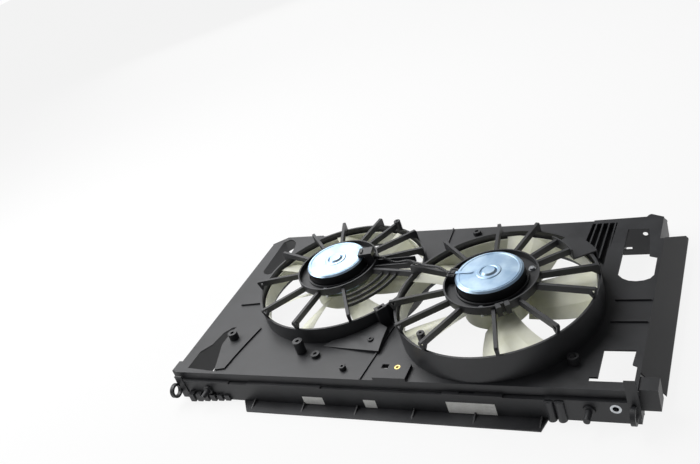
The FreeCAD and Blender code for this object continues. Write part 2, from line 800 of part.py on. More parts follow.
def make_right_corner():
    """Lower right corner: a sloping cover over the upright wall that takes the mounting bolt."""
    body = new_body("right_lower_bracket")
    wall = "sheet_wall"
    side = "(%s - corner_step)" % RIGHT_EDGE
    start = "(skirt_right + slit_width)"
    end = "(overall_width / 2 - 1)"
    brim = "(%s + 3)" % LOWER_EDGE
    rise(body, "panel_level - sheet_wall", wall, [
        (start, LOWER_EDGE), (side, LOWER_EDGE), (side, brim), (side + " - 22", brim + " + 11"),
        (side + " - 26", brim + " + 9"), (side + " - 29", brim + " + 3"), (start, brim)])
    along_x(body, start, side + " - " + start,
            slanted_sheet(LOWER_EDGE, "panel_level", end, "guide_low", wall))
    drill(body, "panel_level", "panel_level", [
        (side + " - 21", end + " + 1"), (side + " + 1", LOWER_EDGE + " + 27"),
        (side + " + 1", end + " + 1")])
    low = "corner_low"
    under = "panel_level - sheet_wall"
    along_x(body, side + " - " + wall, wall, [
        (CORNER_WALL + " - corner_deep", low), (CORNER_WALL + " - corner_deep", under),
        (LOWER_EDGE, under), (LOWER_EDGE, under + " + wall_bite"),
        (LOWER_EDGE + " + 24", "panel_level - 21 - wall_bite"), (LOWER_EDGE + " + 24", low)])
    along_x(body, start, wall, [
        (LOWER_EDGE, "guide_low"), (LOWER_EDGE, under + " + wall_bite"),
        (LOWER_EDGE + " + 35", "guide_low + 7.5 + wall_bite"),
        (LOWER_EDGE + " + 35", "guide_low")])
    left = "(%s - corner_wide)" % RIGHT_EDGE
    rise(body, low, under + " - " + low, rectangle(left, side, CORNER_WALL, CORNER_WALL + " + " + wall))
    rise(body, low, under + " - " + low, rectangle(
        left, left + " + " + wall, CORNER_WALL, LOWER_EDGE + " + wall_bite"))
    bolt = (RIGHT_EDGE + " - corner_bore_inset", "corner_bore_level")
    along_y(body, CORNER_WALL, wall, bolt + ("corner_bore",), cut=True)
    along_y(body, LOWER_EDGE, "skirt_reach", bolt + ("corner_access",), cut=True)
    slot = RIGHT_EDGE + " - corner_slot_inset"
    along_y(body, CORNER_WALL, wall, rectangle(
        slot + " - corner_slot_length / 2", slot + " + corner_slot_length / 2",
        "corner_slot_level - corner_slot_width / 2", "corner_slot_level + corner_slot_width / 2"),
        cut=True)
    return body


def make_left_corner():
    """Lower left corner: two sloping sheets along the slanted slit at the end of the skirt."""
    body = new_body("left_lower_bracket")
    wall = "sheet_wall"
    foot = "(skirt_left + skirt_slant - slit_width * 2)"
    tip = "(skirt_left - slit_width)"
    end = "(overall_width / 2 - 4)"
    under = "panel_level - sheet_wall"
    ledge = [(LEFT_EDGE + " + 27", LOWER_EDGE), (foot, LOWER_EDGE), (foot, LOWER_EDGE + " + 3"),
             (LEFT_EDGE + " + 26", LOWER_EDGE + " + 3")]
    toe = [(LEFT_EDGE + " + 22", end + " - 14"), (tip, end + " - 3"), (tip, end),
           (LEFT_EDGE + " + 21", end + " - 11")]
    edge = [(LEFT_EDGE, LOWER_EDGE + " - 24"), (LEFT_EDGE + " + 29.25", LOWER_EDGE + " + 2"),
            (LEFT_EDGE + " + 27", LOWER_EDGE + " + 3"), (LEFT_EDGE + " - 2", LOWER_EDGE + " - 21")]
    heel = [(LEFT_EDGE + " - 7", LOWER_EDGE + " - 12"), (LEFT_EDGE + " + 24", end + " - 12.5"),
            (LEFT_EDGE + " + 23", end + " - 10"), (LEFT_EDGE + " - 9", LOWER_EDGE + " - 9")]
    for high, low in ((ledge, toe), (edge, heel)):
        loft_down(body, "guide_low", low, under, high)
        rise(body, under, wall, high)
    return body


make_lower_skirt()
make_right_corner()
make_left_corner()


# Side walls and air guides: they lead the air past the radiator's tanks
def make_side_wall(label, low, high, end):
    """Upright wall that hangs from the panel near its side edge."""
    body = new_body(label)
    rise(body, "corner_low", "panel_level - sheet_wall - corner_low", rectangle(
        low, high, BEAM_BACK, end))
    return body


def make_right_guide():
    """Slanted flap along the right side, cut back at its far end."""
    body = new_body("right_air_guide")
    slope = slanted_sheet(RIGHT_EDGE, "panel_level", "overall_length / 2", "guide_low",
                          "guide_sheet")
    near = "(%s + guide_inset)" % UPPER_EDGE
    far = "(%s - guide_end)" % LOWER_EDGE
    along_y(body, near, "(%s - %s)" % (far, near), slope)
    drill(body, "panel_level + 1", "panel_level", [
        (RIGHT_EDGE + " - 1", CORNER_WALL + " - corner_deep"),
        ("overall_length / 2 + 1", far + " + 10"), (RIGHT_EDGE + " - 1", far + " + 10")])
    return body


def make_left_guide():
    """Slanted flap along the left side, slightly twisted along its length."""
    body = new_body("left_air_guide")
    near = UPPER_EDGE + " + guide_inset"
    far = LOWER_EDGE + " - 24"
    sections = []
    for place, outer, level in ((near, "-overall_length / 2", "guide_low"),
                                (far, LEFT_EDGE + " - guide_twist", "guide_low - 11")):
        sketch = new_sketch(body, "XZ_Plane", "-(%s)" % place)
        draw_polygon(sketch, slanted_sheet(LEFT_EDGE, "panel_level", outer, level, "guide_sheet"))
        sections.append(sketch)
    loft = body.newObject("PartDesign::AdditiveLoft", "Flap")
    loft.Profile = sections[0]
    loft.Sections = sections[1:]
    loft.Ruled = True
    body.Tip = loft
    return body


def make_guide_block(label, edge, reach):
    """Hollow block, open to the radiator, that closes the near end of a flap."""
    body = new_body(label, edge, UPPER_EDGE + " + block_inset")
    sign = "-" if reach.startswith("-") else ""
    rise(body, "guide_low", "panel_level - 2 - guide_low", rectangle(
        "0", reach, "0", "block_length"))
    drill(body, "panel_level - 2 - sheet_wall", "panel_level", rectangle(
        sign + "sheet_wall", reach + (" + " if sign else " - ") + "sheet_wall",
        "sheet_wall", "block_length - sheet_wall"))
    return body


make_side_wall("right_side_wall", RIGHT_EDGE + " - sheet_wall", RIGHT_EDGE,
               CORNER_WALL + " - corner_deep")
make_side_wall("left_side_wall", LEFT_EDGE + " + wall_inset - sheet_wall",
               LEFT_EDGE + " + wall_inset", LOWER_EDGE + " - 9")
make_right_guide()
make_left_guide()
make_guide_block("right_guide_block", RIGHT_EDGE, "block_reach")
make_guide_block("left_guide_block", LEFT_EDGE, "-small_block_reach")


# Ring fans: hub, blades and band moulded as one piece
def blade_section(sketch, chord, camber, thick, lean):
    """Closed section of a blade: a cambered back and a flatter belly, set by four widths."""
    half = "(%s) / 2" % chord
    draw_polygon(sketch, [
        ("%s - %s" % (lean, half), "0"),
        ("%s - %s / 2" % (lean, half), "0.75 * (%s)" % camber),
        ("%s" % lean, camber),
        ("%s + %s / 2" % (lean, half), "0.75 * (%s)" % camber),
        ("%s + %s" % (lean, half), "0"),
        ("%s + %s / 2" % (lean, half), "0.75 * (%s) - %s" % (camber, thick)),
        ("%s" % lean, "%s - %s" % (camber, thick)),
        ("%s - %s / 2" % (lean, half), "0.75 * (%s) - %s" % (camber, thick)),
    ])


def make_fan(label, x, y, level, band, blades, chords, pitches, leans):
    """Hub cup open to the motor, twisted blades, and the band that joins their tips."""
    body = new_body(label, x, y, "%s + band_rise" % level)
    front = "-(band_rise + hub_front_drop)"
    rear = "(hub_height - band_rise - hub_front_drop)"
    turn_profile(body, [
        ("shaft_radius + running_fit", front + " + recess_depth"),
        ("hub_recess", front + " + recess_depth"),
        ("hub_recess", front), ("hub_radius * 0.62", front + " + 1.5"),
        ("hub_radius * 0.88", front + " + 6"), ("hub_radius", front + " + 13"),
        ("hub_radius", rear), ("hub_radius - hub_wall", rear),
        ("hub_radius - hub_wall", front + " + 15"), ("hub_radius * 0.8", front + " + 8"),
        ("hub_recess + 4", front + " + 4"), ("hub_recess + 4", front + " + 13"),
        ("11", front + " + 13"), ("11", front + " + 22"),
        ("shaft_radius + running_fit", front + " + 22"),
    ])
    stations = ["hub_radius - hub_wall / 2", "(hub_radius * 2 + %s) / 3" % band,
                "(hub_radius + %s * 2) / 3" % band, band]
    sections = []
    for place, chord, pitch, lean in zip(stations, chords, pitches, leans):
        sketch = new_sketch(body, "YZ_Plane", place, (Vector(0, 0, 1), "%g" % pitch))
        bind(sketch, AttachmentOffset__Base__y="band_height / 2")
        blade_section(sketch, "%g" % chord, "%g" % (chord * 0.09), "2.4", "%g" % lean)
        sections.append(sketch)
    loft = body.newObject("PartDesign::AdditiveLoft", "Blade")
    loft.Profile = sections[0]
    loft.Sections = sections[1:]
    body.Tip = loft
    polar_copies(body, [loft], blades)
    trim = band + " - band_wall / 2"
    turn_profile(body, rectangle(trim, trim + " + 60", "-60", "100"), groove=True)
    turn_profile(body, rectangle(band + " - band_wall", band, "0", "band_height"))
    return body


make_fan("large_fan", "large_fan_x", "large_fan_y", "panel_level", "large_band", "large_blades",
         (62, 76, 92, 108), (32, 24, 18, 14), (0, 4, 12, 26))
make_fan("small_fan", SMALL_X, SMALL_Y, SMALL_LEVEL, "small_band", "small_blades",
         (40, 46, 52, 58), (40, 32, 26, 22), (0, 3, 9, 20))


# Motors: the same motor drives each fan
def turned(label, x, y, z, *profiles):
    """A body of one or more turned profiles."""
    body = new_body(label, x, y, z)
    for corners in profiles:
        turn_profile(body, corners)
    return body


def make_can(label, x, y, seat):
    """Deep-drawn steel can with a mounting flange, three ears and a bearing cup in its end."""
    flange = "(-sheet_wall)"
    front = "(-can_front)"
    rear = "(can_height - can_front)"
    cup = "(bearing_outer + boss_wall)"
    can = new_body(label, x, y, seat)
    turn_profile(can, [
        ("can_radius - can_wall", front), ("can_radius", front), ("can_radius", flange),
        ("can_radius + flange_reach", flange), ("can_radius + flange_reach", "0"),
        ("can_radius", "0"),
        ("can_radius", rear + " - 3"), ("can_radius - 3", rear), (cup + " + 3", rear),
        (cup, rear + " + 3"), ("0", rear + " + 3"), ("0", rear + " + 3 - boss_wall"),
        ("bearing_outer", rear + " + 3 - boss_wall"),
        ("bearing_outer", rear + " - bearing_width"), (cup, rear + " - bearing_width"),
        (cup, rear + " - can_wall"),
        ("can_radius - 3 - can_wall / 2", rear + " - can_wall"),
        ("can_radius - can_wall", rear + " - 3 - can_wall / 2"),
    ])
    for n in range(3):
        rise(can, flange, "sheet_wall", ear_place(n) + ("ear_radius",))
    for n in range(3):
        drill(can, "0", "sheet_wall", ear_place(n) + ("screw_radius + screw_clearance",))
    return can


def screw_shapes():
    """Three washer-head screws with hexagon heads, with the seat under the head at zero."""
    shapes = []
    ring_top = size("ring_plate")
    for n in range(3):
        turn = math.radians(n * 120 + 30)
        spot = Vector(math.cos(turn), math.sin(turn), 0) * (size("can_radius") + size("screw_reach"))
        base = spot + Vector(0, 0, ring_top)
        shank = Part.makeCylinder(size("screw_radius"), size("screw_length"),
                                  base - Vector(0, 0, size("screw_length")))
        washer = Part.makeCylinder(size("screw_head") * 1.25, 1, base)
        points = [base + Vector(math.cos(math.radians(60 * k)), math.sin(math.radians(60 * k)), 0)
                  * size("screw_head") for k in range(7)]
        head = Part.Face(Part.makePolygon(points)).extrude(Vector(0, 0, size("screw_head_height")))
        shapes.append(shank.fuse([washer, head]).removeSplitter())
    return shapes


def magnet_shapes():
    """Four curved magnets that line the can."""
    outer = size("can_radius") - size("can_wall")
    inner = outer - size("magnet_thick")
    low = 2 - size("sheet_wall")
    high = size("can_height") - size("can_front") - 4
    arc = size("magnet_arc")
    ring = Part.makeCylinder(outer, high - low, Vector(0, 0, low), Vector(0, 0, 1), arc)
    ring = ring.cut(Part.makeCylinder(inner, high - low, Vector(0, 0, low)))
    shapes = []
    for n in range(4):
        piece = ring.copy()
        piece.rotate(Vector(0, 0, 0), Vector(0, 0, 1), n * 90 - arc / 2)
        shapes.append(piece)
    return shapes


def make_core(label, x, y, seat):
    """Slotted laminated core, pressed on the shaft."""
    low = "core_level"
    body = new_body(label, x, y, seat)
    rise(body, low, "core_height", ("0", "0", CORE_RADIUS), ("0", "0", "shaft_radius"))
    slot = drill(body, low + " + core_height", "core_height", rectangle(
        "winding_inner + 12", CORE_RADIUS + " + 1", "-1.5", "1.5"))
    polar_copies(body, [slot], "core_slots")
    return body


def winding_shapes():
    """Copper end turns, one ring on each side of the core."""
    low = size("core_level")
    high = low + size("core_height")
    core = size("can_radius") - size("can_wall") - size("magnet_thick") - size("air_gap")
    shapes = []
    for level in (low - size("winding_height"), high):
        ring = Part.makeCylinder(core - 3, size("winding_height"), Vector(0, 0, level))
        hole = Part.makeCylinder(size("winding_inner"), size("winding_height"), Vector(0, 0, level))
        shapes.append(ring.cut(hole))
    return shapes


def brush_shapes():
    """Four carbon brushes that press on the commutator."""
    wide = size("brush_width")
    start = size("commutator_radius") + 0.1
    level = size("holder_sheet") - size("can_front")
    shapes = []
    for n in range(4):
        block = Part.makeBox(size("brush_length"), wide, wide, Vector(start, -wide / 2, level))
        block.rotate(Vector(0, 0, 0), Vector(0, 0, 1), 90 * n)
        shapes.append(block)
    return shapes


def make_brush_holder(label, x, y, seat):
    """Plastic plate on the end plate, with a guide round each brush."""
    body = new_body(label, x, y, seat)
    front = "(-can_front)"
    rise(body, front, "holder_sheet", ("0", "0", "can_radius - can_wall - part_gap"),
         ("0", "0", "commutator_radius + 1"))
    inner = "(commutator_radius + 2)"
    rear = "(commutator_radius + brush_length + 1)"
    half = "(brush_width / 2 + part_gap)"
    wide = "(%s + 1.5)" % half
    guide = rise(body, front + " + holder_sheet", "brush_width + 2", [
        (inner, "-" + wide), (rear + " + 1.5", "-" + wide), (rear + " + 1.5", wide), (inner, wide),
        (inner, half), (rear, half), (rear, "-" + half), (inner, "-" + half)])
    polar_copies(body, [guide], "4")
    return body


def make_nut(label, x, y, seat):
    """Hexagon nut on the shaft's thread, in the recess of the hub."""
    body = new_body(label, x, y, seat)
    top = "(recess_depth - hub_front_drop - duct_height - ring_rise)"
    corner = "(nut_flat / sqrt(3))"
    hexagon = [("%s * cos(%d)" % (corner, 60 * n), "%s * sin(%d)" % (corner, 60 * n))
               for n in range(6)]
    rise(body, top + " - nut_height", "nut_height", hexagon, ("0", "0", "shaft_radius"))
    return body


def make_plug(label, x, y, seat, angle):
    """Connector block that stands in the channel of the stay's ring."""
    body = new_body(label, x, y, seat)
    near = RING_INNER + " + ring_wall + part_gap"
    far = RING_OUTER + " - ring_wall - 1.2"
    half = "plug_width / 2"
    corners = [along_ray(angle, near, "-" + half), along_ray(angle, far, "-" + half),
               along_ray(angle, far, half), along_ray(angle, near, half)]
    rise(body, "ring_plate", "plug_height", corners)
    return body


def make_motor(name, x, y, level, plug_angle):
    """One motor under its stay ring, from the can to the nut that holds the fan."""
    seat = "%s + duct_height + ring_rise" % level
    front = "(-can_front)"
    rear = "(can_height - can_front)"
    make_can(name + "_motor_can", x, y, seat)
    boss_top = front + " + bearing_width - end_plate"
    turned(name + "_motor_end_plate", x, y, seat, [
        ("bearing_outer", front + " - end_plate"), ("can_radius", front + " - end_plate"),
        ("can_radius", front), ("bearing_outer + boss_wall", front),
        ("bearing_outer + boss_wall", boss_top), ("bearing_outer", boss_top),
    ])
    for title, place in (("_front_bearing", front + " - end_plate"),
                         ("_rear_bearing", rear + " + 3 - boss_wall - bearing_width")):
        turned(name + title, x, y, seat, rectangle(
            "shaft_radius + running_fit", "bearing_outer", place, place + " + bearing_width"))
    shaft_low = "(-duct_height - ring_rise)"
    shaft_top = rear + " + 3 - boss_wall - 0.3"
    turned(name + "_motor_shaft", x, y, seat, rectangle("0", "shaft_radius", shaft_low, shaft_top))
    make_core(name + "_armature_core", x, y, seat)
    make_group(name + "_armature_winding", x, y, seat, winding_shapes())
    turned(name + "_commutator", x, y, seat, rectangle(
        "shaft_radius", "commutator_radius", "commutator_level",
        "commutator_level + commutator_height"))
    make_group(name + "_motor_magnets", x, y, seat, magnet_shapes())
    make_group(name + "_motor_brushes", x, y, seat, brush_shapes())
    make_group(name + "_motor_screws", x, y, seat, screw_shapes())
    make_brush_holder(name + "_brush_holder", x, y, seat)
    make_nut(name + "_fan_nut", x, y, seat)
    make_plug(name + "_motor_plug", x, y, seat, plug_angle)


make_motor("large", "large_fan_x", "large_fan_y", "panel_level", 172)
make_motor("small", SMALL_X, SMALL_Y, SMALL_LEVEL, 12)


# Lead between the two motors: along a spoke, over the rims and through the tray
def lead_point(small, radius, angle, rise_above):
    """A point of the lead, given round the axis of one motor and above its seat."""
    x = size("large_fan_x") - (size("fan_pitch_x") if small else 0)
    y = size("large_fan_y") + (size("fan_pitch_y") if small else 0)
    seat = size("panel_level") - (size("small_drop") if small else 0)
    seat += size("duct_height") + size("ring_rise")
    turn = math.radians(angle)
    return Vector(x + radius * math.cos(turn), y + radius * math.sin(turn), seat + rise_above)


def rounded_path(points):
    """Straight runs joined by tangent arcs, each as large as its two runs allow."""
    edges = []
    start = points[0]
    for before, corner, after in zip(points, points[1:], points[2:]):
        back = before - corner
        ahead = after - corner
        trim = 0.45 * min(back.Length, ahead.Length)
        half_turn = (math.pi - back.getAngle(ahead)) / 2
        first = corner + back.normalize() * trim
        last = corner + ahead.normalize() * trim
        radius = trim / math.tan(half_turn)
        print("lead radius", round(radius, 1))
        inward = (back + ahead).normalize()
        middle = corner + inward * (radius / math.cos(half_turn) - radius)
        edges.append(Part.LineSegment(start, first).toShape())
        edges.append(Part.Arc(first, middle, last).toShape())
        start = last
    edges.append(Part.LineSegment(start, points[-1]).toShape())
    return Part.Wire(edges)


def make_lead():
    """Round lead from one connector to the other."""
    radius = size("lead_radius")
    face = size("can_radius") + size("ring_reach") - size("ring_wall") - 1.2
    plug = face + radius * 0.45
    leave = size("ring_height") + radius + size("part_gap")
    rest = size("stay_rise") - size("ring_rise") + radius + size("part_gap")
    floor = rest - size("spoke_depth") + size("ring_wall")
    points = [
        lead_point(False, plug, 172, leave), lead_point(False, 97.9, 166, leave + 3.7),
        lead_point(False, 135, 163.1, rest + 1.4), lead_point(False, 164.3, 162.1, rest + 2.7),
        lead_point(True, 158.7, -3.4, rest + 9.1), lead_point(True, 138.1, 4.9, floor + 4.2),
        lead_point(True, 112.8, 5.9, floor), lead_point(True, 91.7, 7.9, leave),
        lead_point(True, plug, 12, leave),
    ]
    spine = rounded_path(points)
    circle = Part.Wire([Part.Circle(points[0], points[1] - points[0], radius).toShape()])
    tube = spine.makePipeShell([circle], True, True)
    print("lead volume share", round(tube.Volume / (spine.Length * math.pi * radius ** 2), 4))
    return make_group("motor_lead", "0", "0", "0", [tube])


make_lead()


doc.recompute()
for item in doc.Objects:
    if "Invalid" in item.State or "Error" in item.State:
        raise RuntimeError("%s did not recompute: %s" % (item.Label, item.State))
pieces = [item for item in doc.Objects
          if item.TypeId in ("PartDesign::Body", "Part::Feature") and not item.getParentGeoFeatureGroup()]
for piece in pieces:
    shape = piece.Shape
    if shape.isNull() or not shape.isValid():
        raise RuntimeError("%s has no valid solid" % piece.Label)
for piece in pieces:
    piece.Shape.exportStep("parts/%s.step" % piece.Label)
    print(piece.Label, len(piece.Shape.Solids), round(piece.Shape.Volume / 1000, 1), "cm3")
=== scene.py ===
"""Twin radiator cooling fan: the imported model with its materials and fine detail, in metres."""
import math

import bmesh
import bpy
from mathutils import Matrix, Quaternion, Vector


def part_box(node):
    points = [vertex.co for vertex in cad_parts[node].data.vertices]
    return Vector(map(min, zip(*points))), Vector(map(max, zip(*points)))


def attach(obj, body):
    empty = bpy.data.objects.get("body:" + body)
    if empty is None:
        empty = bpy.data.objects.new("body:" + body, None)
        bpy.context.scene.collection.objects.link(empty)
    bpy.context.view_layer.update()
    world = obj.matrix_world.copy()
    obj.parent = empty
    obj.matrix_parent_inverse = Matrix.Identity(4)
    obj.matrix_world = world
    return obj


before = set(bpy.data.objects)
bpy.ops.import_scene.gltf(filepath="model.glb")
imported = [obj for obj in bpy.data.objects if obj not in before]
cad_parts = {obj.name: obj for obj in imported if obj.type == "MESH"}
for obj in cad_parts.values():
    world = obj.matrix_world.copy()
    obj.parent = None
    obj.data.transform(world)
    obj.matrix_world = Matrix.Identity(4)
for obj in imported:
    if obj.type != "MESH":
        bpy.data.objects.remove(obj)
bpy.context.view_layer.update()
scene = bpy.context.scene
scene.view_settings.view_transform = "Standard"
WHITE = (1, 1, 1, 1)
PLASTIC_IOR = 1.53


# View: a product photograph on white paper, taken from above the upper beam. The camera's
# place, aim and roll were fitted to the edges of the shroud in the photograph.
camera_place = Vector((0.6296, -1.0780, 0.8882))
camera_aim = Vector((-0.18797, 0.15351, 0.1))
camera_roll = math.radians(-20.6222)
camera_data = bpy.data.cameras.new("camera")
camera_data.sensor_width = 36.0
camera_data.lens = 42.57
camera_data.clip_end = 20.0
camera = bpy.data.objects.new("camera", camera_data)
scene.collection.objects.link(camera)
level_view = (camera_aim - camera_place).to_track_quat("-Z", "Y")
rolled_view = level_view @ Quaternion((0, 0, 1), camera_roll)
camera.matrix_world = Matrix.Translation(camera_place) @ rolled_view.to_matrix().to_4x4()
scene.camera = camera

# White paper: a wide sheet of matt white under the part. It keeps a soft shadow where the
# edges stand on it, and shows as plain white to the camera and in the metal.
paper_reach = 6.0
paper_drop = 0.0006
paper_mesh = bpy.data.meshes.new("paper")
sheet = bmesh.new()
bmesh.ops.create_grid(sheet, x_segments=2, y_segments=2, size=paper_reach)
bmesh.ops.translate(sheet, verts=sheet.verts, vec=(0, 0, -paper_drop))
sheet.to_mesh(paper_mesh)
sheet.free()
paper = bpy.data.objects.new("paper", paper_mesh)
scene.collection.objects.link(paper)


def linear(hex_code):
    """Turns an sRGB hex colour into the linear values that shaders take."""
    channels = [int(hex_code[n:n + 2], 16) / 255 for n in (1, 3, 5)]
    return tuple(c / 12.92 if c <= 0.04045 else ((c + 0.055) / 1.055) ** 2.4
                 for c in channels) + (1.0,)


def new_material(name):
    """A material that holds only its shader, joined to its output."""
    material = bpy.data.materials.new(name)
    material.use_nodes = True
    tree = material.node_tree
    tree.nodes.clear()
    shader = tree.nodes.new("ShaderNodeBsdfPrincipled")
    output = tree.nodes.new("ShaderNodeOutputMaterial")
    tree.links.new(shader.outputs[0], output.inputs[0])
    return material, tree, shader


def add_node(tree, kind, settings=None, values=None, links=None):
    """Adds one node with its settings, its socket values and its incoming links."""
    node = tree.nodes.new(kind)
    for name, value in (settings or {}).items():
        setattr(node, name, value)
    for name, value in (values or {}).items():
        node.inputs[name].default_value = value
    for name, source in (links or {}).items():
        tree.links.new(source, node.inputs[name])
    return node


def combine(tree, operation, *terms):
    """Adds one Math node on sockets or plain numbers, and returns its result."""
    node = add_node(tree, "ShaderNodeMath", {"operation": operation})
    for socket, term in zip(node.inputs, terms):
        if isinstance(term, bpy.types.NodeSocket):
            tree.links.new(term, socket)
        else:
            socket.default_value = term
    return node.outputs[0]


def white_paper():
    """Most of the white is the paper's own, and the rest takes light and shadow."""
    own_white = 0.88
    material, tree, shader = new_material("matt_white_paper")
    output = shader.outputs[0].links[0].to_node
    shader.inputs["Base Color"].default_value = linear("#d8d8d8")
    shader.inputs["Roughness"].default_value = 0.9
    glow = add_node(tree, "ShaderNodeEmission", values={"Color": WHITE, "Strength": 1.0})
    path = add_node(tree, "ShaderNodeLightPath").outputs
    mirrored = combine(tree, "MAXIMUM", path["Is Glossy Ray"], path["Is Transmission Ray"])
    seen = combine(tree, "MAXIMUM", mirrored, path["Is Camera Ray"])
    share = combine(tree, "MULTIPLY", seen, own_white)
    blend = add_node(tree, "ShaderNodeMixShader", links={
        0: share, 1: shader.outputs[0], 2: glow.outputs[0]})
    tree.links.new(blend.outputs[0], output.inputs[0])
    return material


paper_mesh.materials.append(white_paper())

# Light: a dim white studio all round, which the camera sees as plain white, and large soft
# boxes above and to the left. The tops are grey, and the faces towards the camera darker.
world = bpy.data.worlds.new("studio")
scene.world = world
world.use_nodes = True
world_tree = world.node_tree
world_tree.nodes.clear()
dim = add_node(world_tree, "ShaderNodeBackground", values={"Color": WHITE, "Strength": 0.16})
plain = add_node(world_tree, "ShaderNodeBackground", values={"Color": WHITE, "Strength": 1.0})
world_path = add_node(world_tree, "ShaderNodeLightPath")
studio = add_node(world_tree, "ShaderNodeMixShader", links={
    0: world_path.outputs["Is Camera Ray"], 1: dim.outputs[0], 2: plain.outputs[0]})
add_node(world_tree, "ShaderNodeOutputWorld", links={0: studio.outputs[0]})


def soft_box(name, place, target, size, power):
    """A square area light that faces a point."""
    data = bpy.data.lights.new(name, "AREA")
    data.shape = "SQUARE"
    data.size = size
    data.energy = power
    light = bpy.data.objects.new(name, data)
    scene.collection.objects.link(light)
    light.location = place
    light.rotation_mode = "QUATERNION"
    light.rotation_quaternion = (Vector(target) - Vector(place)).to_track_quat("-Z", "Y")


soft_box("overhead_box", (-0.9, 0.5, 1.6), (-0.1, 0, 0), size=1.5, power=32)
soft_box("left_box", (-1.6, -0.2, 1.0), (-0.1, 0, 0), size=1.1, power=16)
soft_box("rear_box", (-1.5, 2.2, 0.9), (-0.1, 0, 0.1), size=1.6, power=10)


# Places that the pieces below are set out from. Each can's flat end lies below the cup of its
# rear bearing, which is the can's highest point.
def middle(node):
    """Centre of a node's box in plan."""
    low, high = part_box(node)
    return (low[0] + high[0]) / 2, (low[1] + high[1]) / 2


cup_rise = 0.003
axis, rim, stay_top, can_end = {}, {}, {}, {}
for name in ("large", "small"):
    axis[name] = middle(name + "_fan_nut")
    rim[name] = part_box(name + "_fan_duct")[1][2]
    stay_top[name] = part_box(name + "_motor_stay")[1][2]
    can_end[name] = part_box(name + "_motor_can")[1][2] - cup_rise
panel_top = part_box("large_fan_duct")[0][2]
beam_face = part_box("locating_pins")[1][1]
let_in = 0.0005


def mottled(name, dark, light, rough, patch_mm, grain_mm, relief_mm, **sockets):
    """A finish with patches of two colours and roughnesses, and a fine grain in relief."""
    material, tree, shader = new_material(name)
    for socket, value in sockets.items():
        shader.inputs[socket.replace("_", " ")].default_value = value
    place = add_node(tree, "ShaderNodeTexCoord")
    patch = add_node(tree, "ShaderNodeTexNoise", values={"Scale": 1000 / patch_mm, "Detail": 4.0},
                     links={"Vector": place.outputs["Object"]})
    colour = add_node(tree, "ShaderNodeValToRGB", links={"Fac": patch.outputs["Fac"]})
    for stop, at, hex_code in zip(colour.color_ramp.elements, (0.35, 0.65), (dark, light)):
        stop.position = at
        stop.color = linear(hex_code)
    tree.links.new(colour.outputs["Color"], shader.inputs["Base Color"])
    gloss = add_node(tree, "ShaderNodeMapRange", values={"To Min": rough[0], "To Max": rough[1]},
                     links={"Value": patch.outputs["Fac"]})
    tree.links.new(gloss.outputs[0], shader.inputs["Roughness"])
    grain = add_node(tree, "ShaderNodeTexNoise", values={"Scale": 1000 / grain_mm, "Detail": 3.0},
                     links={"Vector": place.outputs["Object"]})
    bump = add_node(tree, "ShaderNodeBump",
                    values={"Strength": 0.15, "Distance": relief_mm / 1000},
                    links={"Height": grain.outputs["Fac"]})
    tree.links.new(bump.outputs[0], shader.inputs["Normal"])
    return material


def coat(node, material):
    """Gives a finished material to one CAD node."""
    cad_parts[node].data.materials.clear()
    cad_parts[node].data.materials.append(material)


def dress(material, *words):
    """Gives a finished material to the CAD nodes whose names hold one of the words."""
    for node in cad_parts:
        if any(word in node for word in words):
            coat(node, material)


# Shroud: large injection mouldings of glass-filled polyamide 6, coloured black. The spark
# texture of the mould, drawn 0.8 mm coarse so that it shows, leaves them satin, with long
# flow marks: grey where they face the light above, and near black on the sides that face away.
shroud_black = mottled("moulded_polyamide_black", "#242528", "#313235", (0.42, 0.56),
                       patch_mm=60, grain_mm=0.8, relief_mm=0.2, IOR=PLASTIC_IOR)
dress(shroud_black, "panel", "duct", "motor_stay", "beam", "bracket", "skirt", "side_wall",
      "guide", "locating")

# Ring fans: natural polyamide without pigment, injection moulded with blades, hub and band in
# one. It is a milky greenish white, cloudy from the filling, and lets a little light through.
fan_white = mottled("natural_polyamide_milky", "#dedfc8", "#ecedda", (0.34, 0.46),
                    patch_mm=40, grain_mm=1.5, relief_mm=0.1, IOR=PLASTIC_IOR,
                    Subsurface_Weight=0.3, Subsurface_Radius=(0.012, 0.012, 0.009),
                    Subsurface_Scale=0.6)
coat("large_fan", fan_white)
coat("small_fan", fan_white)

# Motor cans: deep-drawn steel, zinc plated and passivated blue. The end is bright and bluish,
# with patches of the passivation and a grain about 1 mm coarse. The wall and flange are coloured
# black as painted shade, which stands in for the dark surroundings that the metal wall reflects.
zinc = {"dark": "#a3c0dc", "light": "#c2d9ec", "rough": (0.3, 0.44),
        "patch_mm": 25, "grain_mm": 1.1, "relief_mm": 0.2}
can_zinc = mottled("zinc_plated_steel_blue", **zinc, Metallic=1.0)


def zinc_with_painted_dark_wall():
    """The same plating, with painted shade: black on all but the faces of the ends that look up.
    """
    material = mottled("zinc_steel_with_painted_dark_wall", **zinc)
    # above the flanges of both cans, and just below the lower can's end
    painted_shade_below = can_end["small"] - 0.0035
    least_slope = 0.3
    tree = material.node_tree
    shader = tree.nodes["Principled BSDF"]
    place = add_node(tree, "ShaderNodeTexCoord")
    height = add_node(tree, "ShaderNodeSeparateXYZ", links={0: place.outputs["Object"]})
    facing = add_node(tree, "ShaderNodeNewGeometry")
    slope = add_node(tree, "ShaderNodeSeparateXYZ", links={0: facing.outputs["True Normal"]})
    looks_up = combine(tree, "GREATER_THAN", slope.outputs["Z"], least_slope)
    is_high = combine(tree, "GREATER_THAN", height.outputs["Z"], painted_shade_below)
    unshaded_zinc_mask = combine(tree, "MULTIPLY", looks_up, is_high)
    # a colour Mix takes its two colours on sockets 6 and 7, and gives them on output 2
    zinc_colour = shader.inputs["Base Color"].links[0].from_socket
    # painted shade: the black stands in for the dark reflection on the can's wall and flange
    colour = add_node(tree, "ShaderNodeMix", {"data_type": "RGBA"}, {6: linear("#1b1c1e")},
                      {0: unshaded_zinc_mask, 7: zinc_colour})
    tree.links.new(colour.outputs[2], shader.inputs["Base Color"])
    tree.links.new(unshaded_zinc_mask, shader.inputs["Metallic"])
    return material


